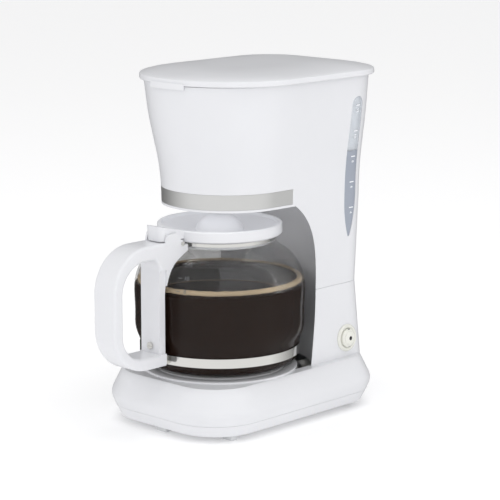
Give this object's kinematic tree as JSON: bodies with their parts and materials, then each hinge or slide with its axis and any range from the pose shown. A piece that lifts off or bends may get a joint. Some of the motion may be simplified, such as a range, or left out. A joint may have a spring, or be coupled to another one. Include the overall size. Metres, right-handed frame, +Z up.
{
  "type": "drip coffee maker",
  "caption": "White drip coffee maker with a round head, lidded glass carafe on a warming plate, side water gauge and push button.",
  "frame": {"origin": "on the table, under the middle of the machine's bounding box", "axes": "+Z up, the front faces -Y so the carafe is drawn out along -Y, +X is the side with the gauge and the switch"},
  "size_m": [0.1584, 0.2824, 0.3096],
  "materials": {
    "shell_white": "satin gloss",
    "button_ivory": "gloss",
    "inner_grey": "matt",
    "tank_smoke": "matt",
    "black_plastic": "matt",
    "lens_dark": "gloss",
    "brushed_trim": "brushed",
    "bright_steel": "polished",
    "plain_steel": "drawn",
    "aluminium": "as extruded",
    "plate_coat": "satin",
    "rubber_white": "matt",
    "silicone": "matt",
    "rubber_black": "matt",
    "filter_net": "woven",
    "clear_glass": "clear",
    "gauge_clear": "clear",
    "coffee": "liquid",
    "coffee_foam": "froth",
    "water": "liquid",
    "marks_grey": "printed",
    "marks_white": "printed"
  },
  "bodies": {
    "machine": {"upper_housing": "shell_white", "lower_housing": "shell_white", "base_cover": "shell_white", "base_screws": "plain_steel", "head_trim_band": "brushed_trim", "gauge_window": "gauge_clear", "lid_hinge_pin": "plain_steel", "water_tank": "tank_smoke", "filter_basket": "inner_grey", "valve_cage": "inner_grey", "valve_spring": "plain_steel", "filter_mesh": "filter_net", "filter_frame": "black_plastic", "riser_tube": "inner_grey", "spray_head": "inner_grey", "cold_hose": "silicone", "hot_hose": "silicone", "check_valve_body": "inner_grey", "hose_clips": "plain_steel", "warming_plate": "plate_coat", "plate_ring": "shell_white", "heat_spreader": "aluminium", "heater_tube": "aluminium", "heater_rod": "plain_steel", "heater_bracket": "plain_steel", "bracket_screw": "plain_steel", "thermostat": "aluminium", "thermal_fuse": "black_plastic", "switch_bezel": "button_ivory", "switch_body": "black_plastic", "cord_gland": "rubber_black", "terminal_block": "inner_grey", "foot_front_left": "rubber_white", "foot_front_centre": "rubber_white", "foot_front_right": "rubber_white", "foot_rear_left": "rubber_white", "foot_rear_right": "rubber_white"},
    "lid": {"lid": "shell_white"},
    "carafe": {"carafe_glass": "clear_glass", "carafe_band": "bright_steel", "carafe_collar": "bright_steel", "carafe_handle": "shell_white", "carafe_lid": "shell_white", "carafe_lid_pin": "shell_white", "handle_screw": "bright_steel", "collar_screw": "bright_steel"},
    "drip_valve": {"drip_valve": "inner_grey", "valve_seal": "silicone"},
    "power_button": {"power_button": "button_ivory", "indicator_lens": "lens_dark"},
    "check_ball": {"check_ball": "plain_steel"}
  },
  "joints": [
    {"name": "lid_hinge", "type": "hinge", "parent": "machine", "child": "lid", "pos_m": [0, 0.13775, 0.295], "axis": [-1, 0, 0], "range_deg": [0, 95]},
    {"name": "carafe_slide", "type": "slide", "parent": "machine", "child": "carafe", "axis": [0, -1, 0], "range_m": [0, 0.2]},
    {"name": "drip_valve_drop", "type": "slide", "parent": "machine", "child": "drip_valve", "axis": [0, 0, -1], "range_m": [0, 0.004], "deforming": ["valve_spring"]},
    {"name": "power_press", "type": "slide", "parent": "machine", "child": "power_button", "axis": [-0.9986, 0, -0.0522], "range_m": [0, 0.0025], "stiffness_N_per_m": 400},
    {"name": "check_ball_lift", "type": "slide", "parent": "machine", "child": "check_ball", "axis": [0, 0, 1], "range_m": [0, 0.0025]}
  ],
  "couplings": [
    {"joint": "drip_valve_drop", "follows": "carafe_slide", "ratio": 0.02}
  ]
}
